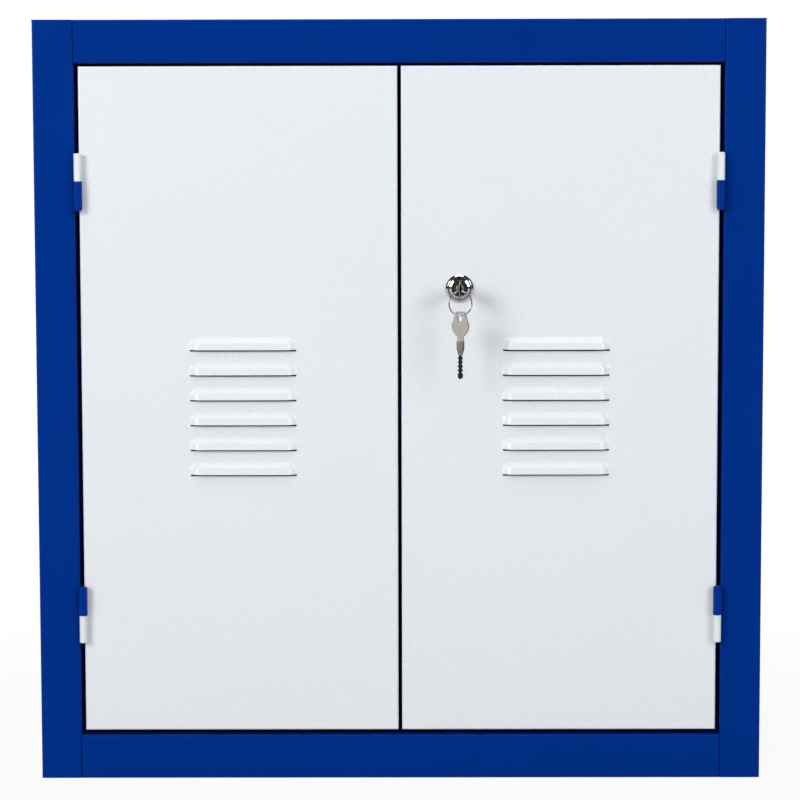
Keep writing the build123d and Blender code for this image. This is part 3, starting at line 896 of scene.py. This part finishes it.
@dataclass
class BarrelHinges:
    """The four lift-off hinges: a blue frame half, a white door half and a steel pin each."""

    bench: Bench

    def build(self) -> None:
        """Builds and dresses every hinge."""
        for side in Side:
            for place in ("upper", "lower"):
                name = f"{side.word}_{place}_hinge"
                halves = {"frame_half": FRAME_PAINT, "door_half": DOOR_PAINT, "pin": ZINC}
                for part, finish in halves.items():
                    node = f"{name}_{part}"
                    self.bench.finish(f"dressed_{node}", copied(node), [node], finish, 0.25, 38)


# ---- Lock ----


@dataclass
class CamLock:
    """The lock of the right door: bezel, body, nut, plug, cam and clips."""

    bench: Bench
    stand_mm: float = 3.5
    neck_mm: float = 9.0
    # Radius and depth below the crest, from the outer edge of the bezel to the bore.
    face_mm: tuple[tuple[float, float], ...] = (
        (14.0, 1.9),
        (13.93, 1.5),
        (13.7, 1.15),
        (13.3, 0.86),
        (12.3, 0.26),
        (12.05, 0.1),
        (11.8, 0.0),
        (11.6, 0.06),
        (11.5, 0.25),
        (11.4, 1.9),
        (10.4, 1.9),
        (10.2, 1.84),
        (8.5, 1.16),
        (8.3, 1.1),
        (8.12, 1.16),
        (8.05, 1.35),
    )
    steps: int = 96

    def bezel(self, front: float) -> bmesh.types.BMesh:
        """Turns the bezel: a shallow cone outside its crest, and a recess round the plug.

        Args:
            front: Y of the door's front.

        Returns:
            The bezel, closed all round.
        """
        top = front - self.stand_mm * MM
        rear = front + 0.4 * MM
        faces = [(radius * MM, top + depth * MM) for radius, depth in self.face_mm]
        bm = bmesh.new()
        bore, neck, outer = faces[-1][0], self.neck_mm * MM, faces[0][0]
        profile = [(bore, rear), (neck, rear), (neck, front), (outer, front), *faces, (bore, rear)]
        turned(bm, profile, self.steps)
        bmesh.ops.translate(bm, verts=bm.verts, vec=(LOCK_AXIS[0], 0, LOCK_AXIS[2]))
        return bm

    def housing(self) -> None:
        """Builds the housing: the turned bezel, and the flatted body behind it."""
        low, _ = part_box("lock_housing")
        front = low[1] + self.stand_mm * MM
        body = copied("lock_housing")
        geometry = body.verts[:] + body.edges[:] + body.faces[:]
        bmesh.ops.bisect_plane(
            body,
            geom=geometry,
            dist=1e-7,
            plane_co=(0, front + 0.2 * MM, 0),
            plane_no=(0, 1, 0),
            clear_inner=True,
        )
        joined(body, self.bezel(front))
        self.bench.finish("dressed_lock_housing", body, ["lock_housing"], CHROME, 0.12, 40)

    def build(self) -> None:
        """Builds and dresses the lock and what turns with its plug."""
        self.housing()
        self.bench.finish("dressed_lock_nut", copied("lock_nut"), ["lock_nut"], CHROME, 0.4)
        self.bench.finish("dressed_lock_plug", copied("lock_plug"), ["lock_plug"], PLUG_NICKEL, 0.45)
        self.bench.finish("dressed_lock_cam", copied("lock_cam"), ["lock_cam"], ZINC, 0.25)
        self.bench.finish("dressed_cam_clip", copied("cam_clip"), ["cam_clip"], ZINC, 0.12)
        clips = "rod_retaining_clips"
        self.bench.finish(f"dressed_{clips}", copied(clips), [clips], ZINC, 0.12)


@dataclass
class RodsAndBolts:
    """The lock's two rods, the slide bolts of the left door, and their guides."""

    bench: Bench

    def build(self) -> None:
        """Builds and dresses the rods, bolts and guides."""
        for node in ("upper_lock_rod", "lower_lock_rod", "upper_slide_bolt", "lower_slide_bolt"):
            self.bench.finish(f"dressed_{node}", copied(node), [node], ZINC, 0.25)
        for node in ("lock_rod_guides", "slide_bolt_guides"):
            self.bench.finish(f"dressed_{node}", copied(node), [node], NYLON, 0.3)


# ---- Keys ----


@dataclass
class KeysOnRing:
    """The key in the lock, the split ring through its bow, and the spare key on the ring."""

    bench: Bench
    wire_mm: tuple[float, float] = (1.2, 0.5)
    turns: float = 2.0
    ring_mm: float = 11.95
    ring_yaw: float = 20.0
    spare_yaw: float = 25.0
    bow_mm: float = 28.8
    collar_mm: tuple[float, float] = (3.85, 8.0)
    taper_mm: tuple[float, float] = (1.7, 6.6)
    groove_mm: float = 0.8
    groove_depth_mm: float = 0.4

    def collar(self) -> bmesh.types.BMesh:
        """Turns the round collar between a key's bow and its blade.

        Returns:
            The collar, along +Y from the top of the bow.
        """
        radius, length = (value * MM for value in self.collar_mm)
        tip, taper = (value * MM for value in self.taper_mm)
        start = self.bow_mm * MM
        edge = 0.7 * MM
        bm = bmesh.new()
        profile = [
            (0, start),
            *arc((radius - edge, start + edge), (edge, edge), -90, 0, 4),
            (radius, start + length),
            (tip, start + length + taper),
            (0, start + length + taper),
        ]
        turned(bm, profile, 40)
        return bm

    def groove(self, bm: bmesh.types.BMesh, along: Vector, across: Vector, top: Vector) -> None:
        """Mills a groove down both flat sides of a key's blade.

        Args:
            bm: The key.
            along: The direction from the bow to the tip.
            across: The direction across the key's flat sides.
            top: The middle of the top of the bow.
        """
        half = self.groove_mm * MM
        start = top + along * (self.bow_mm + sum((self.collar_mm[1], self.taper_mm[1]))) * MM
        for sign in (-1, 1):
            cut(bm, top + across * half * sign, across)
        cut(bm, start, along)
        flat = along.cross(across)
        strips = []
        for face in bm.faces:
            off = face.calc_center_median() - start
            if abs(off.dot(across)) < half and off.dot(along) > 0 and abs(face.normal.dot(flat)) > 0.9:
                strips.append(face)
        depth = -self.groove_depth_mm * MM
        bmesh.ops.inset_region(bm, faces=strips, thickness=0.15 * MM, depth=depth, use_even_offset=True)

    def key(self, node: str, along: Vector, across: Vector, turn: Matrix) -> None:
        """Builds and dresses one key: brushed flats, cut edges and blade painted dark as shade, a groove and a collar.

        Args:
            node: The key's CAD node.
            along: The direction from the bow to the tip.
            across: The direction across the key's flat sides.
            turn: Turns the collar from +Y to the key's direction.
        """
        low, high = (Vector(corner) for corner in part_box(node))
        centre = (low + high) / 2
        top = centre - along * abs((high - low).dot(along)) / 2
        bm = copied(node)
        self.groove(bm, along, across, top)
        flat = along.cross(across)
        blade = (self.bow_mm + self.collar_mm[1]) * MM
        # The blade and the cut edges get the darker metal: painted shade, not a different metal.
        for face in bm.faces:
            on_blade = (face.calc_center_median() - top).dot(along) > blade
            if on_blade or abs(face.normal.dot(flat)) < 0.7:
                face.material_index = 1
        collar = self.collar()
        bmesh.ops.transform(collar, matrix=Matrix.Translation(top) @ turn, verts=collar.verts)
        joined(bm, collar)
        self.bench.finish(f"dressed_{node}", bm, [node], KEY_NICKEL, 0.3, second=KEY_PAINTED_SHADE)

    def ring(self) -> None:
        """Winds the split ring: two turns of flattened wire side by side."""
        low, high = (Vector(corner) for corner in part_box("key_ring"))
        centre = (low + high) / 2
        deep, pitch = (value * MM for value in self.wire_mm)
        bm = bmesh.new()
        made = bmesh.ops.create_circle(bm, cap_ends=False, segments=12, radius=pitch / 2)["verts"]
        bmesh.ops.rotate(bm, verts=made, cent=(0, 0, 0), matrix=Matrix.Rotation(pi / 2, 3, "X"))
        bmesh.ops.scale(bm, verts=made, vec=(deep / pitch, 1, 1))
        bmesh.ops.translate(bm, verts=made, vec=(self.ring_mm * MM, 0, -pitch))
        bmesh.ops.spin(
            bm,
            geom=bm.verts[:] + bm.edges[:],
            cent=(0, 0, 0),
            axis=(0, 0, 1),
            dvec=(0, 0, pitch / 72),
            angle=2 * pi * self.turns,
            steps=int(72 * self.turns),
            use_duplicate=False,
        )
        ends = [edge for edge in bm.edges if edge.is_boundary]
        bmesh.ops.holes_fill(bm, edges=ends, sides=14)
        bmesh.ops.recalc_face_normals(bm, faces=bm.faces)
        # The ring's own axis lies flat and is turned from the front by the ring's yaw.
        turn = Matrix.Rotation(radians(self.ring_yaw), 4, "Z") @ Matrix.Rotation(pi / 2, 4, "X")
        bmesh.ops.transform(bm, matrix=Matrix.Translation(centre) @ turn, verts=bm.verts)
        self.bench.finish("dressed_key_ring", bm, ["key_ring"], RING_STEEL, edge_mm=0.0, smooth=60)

    def build(self) -> None:
        """Builds and dresses both keys and the ring."""
        self.key("inserted_key", Vector((0, 1, 0)), Vector((0, 0, 1)), Matrix.Identity(4))
        yaw = radians(self.spare_yaw)
        down = Matrix.Rotation(-pi / 2, 4, "X")
        self.key("spare_key", Vector((0, 0, -1)), Vector((cos(yaw), -sin(yaw), 0)), down)
        self.ring()


# ---- Studio ----


@dataclass
class Studio:
    """Floor, background, lamps and the camera at the photograph's place."""

    camera_mm: tuple[float, float, float] = (11.14, -2577.35, 583.84)
    yaw: float = -0.00451
    pitch: float = 0.08321
    roll: float = -0.00216
    focal_px: float = 2409.92
    frame_px: float = 800.0
    sensor_mm: float = 36.0
    fill: float = 0.14
    back_fill: float = 0.7
    shadow: float = 0.07
    left_watts: float = 147.0
    right_watts: float = 102.0
    top_watts: float = 58.0

    def camera(self) -> None:
        """Sets up the camera from the fit of the cabinet's corners."""
        ahead = Vector((sin(self.yaw) * cos(self.pitch), cos(self.yaw) * cos(self.pitch), -sin(self.pitch)))
        right = Vector((cos(self.yaw), -sin(self.yaw), 0))
        above = right.cross(ahead)
        turned_right = right * cos(self.roll) + above * sin(self.roll)
        turned_up = above * cos(self.roll) - right * sin(self.roll)
        turn = Matrix((turned_right, turned_up, -ahead)).transposed().to_4x4()
        data = bpy.data.cameras.new("camera")
        data.sensor_width = self.sensor_mm
        data.sensor_fit = "HORIZONTAL"
        data.lens = self.focal_px / self.frame_px * self.sensor_mm
        data.clip_end = 50
        camera = bpy.data.objects.new("camera", data)
        bpy.context.collection.objects.link(camera)
        camera.matrix_world = Matrix.Translation(Vector(self.camera_mm) * MM) @ turn
        bpy.context.scene.camera = camera

    def lamp(self, name: str, place: Vector, size: float, watts: float) -> None:
        """Hangs one soft lamp that points at the cabinet's middle.

        Args:
            name: The lamp's name.
            place: Where it hangs.
            size: Its width and height, in metres.
            watts: Its power.
        """
        data = bpy.data.lights.new(name, "AREA")
        data.shape = "SQUARE"
        data.size = size
        data.energy = watts
        lamp = bpy.data.objects.new(name, data)
        bpy.context.collection.objects.link(lamp)
        aim = Vector((0, -0.1, 0.42)) - place
        lamp.location = place
        lamp.rotation_euler = aim.to_track_quat("-Z", "Y").to_euler()

    def world(self) -> None:
        """Makes the white background, and a studio that is darker in front."""
        world = bpy.data.worlds.new("studio")
        bpy.context.scene.world = world
        world.use_nodes = True
        tree = world.node_tree
        tree.nodes.clear()
        path = add_node(tree, "ShaderNodeLightPath")
        where = add_node(tree, "ShaderNodeTexCoord")
        split = add_node(tree, "ShaderNodeSeparateXYZ", inputs={0: where.outputs["Generated"]})
        ahead = add_node(
            tree,
            "ShaderNodeMapRange",
            {"interpolation_type": "SMOOTHSTEP"},
            {0: split.outputs["Y"], 1: -0.9, 2: 0.1, 3: 0.0, 4: 1.0},
        )
        room = add_node(
            tree,
            "ShaderNodeMix",
            {"data_type": "RGBA"},
            {0: ahead.outputs[0], 6: linear("8A8C90"), 7: linear("FFFFFF")},
        )
        # Gloss sees a dark room in front and the white background behind the cabinet.
        behind = add_node(
            tree,
            "ShaderNodeMapRange",
            {"interpolation_type": "SMOOTHSTEP"},
            {0: split.outputs["Y"], 1: -0.1, 2: 0.4, 3: 0.0, 4: 1.0},
        )
        mirrored = add_node(
            tree,
            "ShaderNodeMix",
            {"data_type": "RGBA"},
            {0: behind.outputs[0], 6: linear("2A2A2C"), 7: linear("FFFFFF")},
        )
        seen = add_node(
            tree,
            "ShaderNodeMath",
            {"operation": "MAXIMUM"},
            {0: path.outputs["Is Camera Ray"], 1: path.outputs["Is Transmission Ray"]},
        )
        level = add_node(
            tree, "ShaderNodeMapRange", inputs={0: split.outputs["Y"], 1: 0.0, 2: 0.6, 3: self.fill, 4: self.back_fill}
        )
        studio = add_node(
            tree, "ShaderNodeBackground", inputs={"Color": room.outputs[2], "Strength": level.outputs[0]}
        )
        mirror = add_node(
            tree, "ShaderNodeBackground", inputs={"Color": mirrored.outputs[2], "Strength": 1.0}
        )
        paper = add_node(tree, "ShaderNodeBackground", inputs={"Color": linear("FFFFFF"), "Strength": 1.0})
        lit = add_node(
            tree,
            "ShaderNodeMixShader",
            inputs={0: path.outputs["Is Glossy Ray"], 1: studio.outputs[0], 2: mirror.outputs[0]},
        )
        mixed = add_node(
            tree, "ShaderNodeMixShader", inputs={0: seen.outputs[0], 1: lit.outputs[0], 2: paper.outputs[0]}
        )
        add_node(tree, "ShaderNodeOutputWorld", inputs={"Surface": mixed.outputs[0]})

    def floor(self) -> None:
        """Lays a plain pale floor that shows white and keeps a faint shadow."""
        bm = bmesh.new()
        bmesh.ops.create_grid(bm, x_segments=1, y_segments=1, size=8.0)
        bmesh.ops.translate(bm, verts=bm.verts, vec=(0, 0, CAD_BOX[0][2]))
        mesh = bpy.data.meshes.new("floor")
        bm.to_mesh(mesh)
        bm.free()
        floor = bpy.data.objects.new("floor", mesh)
        bpy.context.collection.objects.link(floor)
        material, tree, place = started("pale floor")
        paint = add_node(tree, "ShaderNodeBsdfDiffuse", inputs={"Color": linear("BEBEBE")})
        white = add_node(tree, "ShaderNodeEmission", inputs={"Color": linear("FFFFFF"), "Strength": 1.0})
        path = add_node(tree, "ShaderNodeLightPath")
        away = add_node(tree, "ShaderNodeVectorMath", {"operation": "LENGTH"}, {0: place})
        # The floor's own shade shows only near the cabinet, so that it has no far edge.
        bare = add_node(
            tree,
            "ShaderNodeMapRange",
            {"interpolation_type": "SMOOTHSTEP"},
            {0: away.outputs["Value"], 1: 0.3, 2: 1.0, 3: 1 - self.shadow, 4: 1.0},
        )
        # Under the cabinet the floor lies in the dark, as seen through the bottom panel's slots.
        low, high = (Vector(corner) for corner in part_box("bottom_panel"))
        offset = add_node(tree, "ShaderNodeVectorMath", {"operation": "SUBTRACT"}, {0: place, 1: (low + high) / 2})
        apart = add_node(tree, "ShaderNodeVectorMath", {"operation": "ABSOLUTE"}, {0: offset.outputs[0]})
        sides = add_node(tree, "ShaderNodeSeparateXYZ", inputs={0: apart.outputs[0]})
        reach = (high - low) / 2
        past = [
            add_node(tree, "ShaderNodeMath", {"operation": "GREATER_THAN"}, {0: sides.outputs[axis], 1: reach[axis]})
            for axis in range(2)
        ]
        clear = add_node(
            tree, "ShaderNodeMath", {"operation": "MAXIMUM"}, {0: past[0].outputs[0], 1: past[1].outputs[0]}
        )
        share = clear
        for factor in (path.outputs["Is Camera Ray"], bare.outputs[0]):
            share = add_node(
                tree, "ShaderNodeMath", {"operation": "MULTIPLY"}, {0: share.outputs[0], 1: factor}
            )
        mixed = add_node(
            tree, "ShaderNodeMixShader", inputs={0: share.outputs[0], 1: paint.outputs[0], 2: white.outputs[0]}
        )
        ended(tree, mixed)
        mesh.materials.append(material)

    def build(self) -> None:
        """Sets up the whole studio."""
        bpy.context.scene.view_settings.view_transform = "Standard"
        self.camera()
        self.world()
        self.floor()
        self.lamp("left lamp", Vector((-3.2, -3.7, 2.0)), 2.0, self.left_watts)
        self.lamp("right lamp", Vector((3.2, -3.7, 2.0)), 2.0, self.right_watts)
        self.lamp("top lamp", Vector((0, -2.2, 4.6)), 3.0, self.top_watts)


def main() -> None:
    """Builds the cabinet's pieces in order, then the studio."""
    logging.basicConfig(level=logging.INFO, format="%(name)s: %(message)s")
    bench = Bench()
    assemblies: Iterable[object] = (
        FoldedBody(bench),
        Interior(bench),
        LouvredDoor(bench, Side.LEFT),
        LouvredDoor(bench, Side.RIGHT),
        BarrelHinges(bench),
        CamLock(bench),
        RodsAndBolts(bench),
        KeysOnRing(bench),
        Studio(),
    )
    for assembly in assemblies:
        assembly.build()
        LOG.info("%s built", type(assembly).__name__)
    LOG.info("%d pieces", bench.made)


if __name__ == "__main__":
    main()
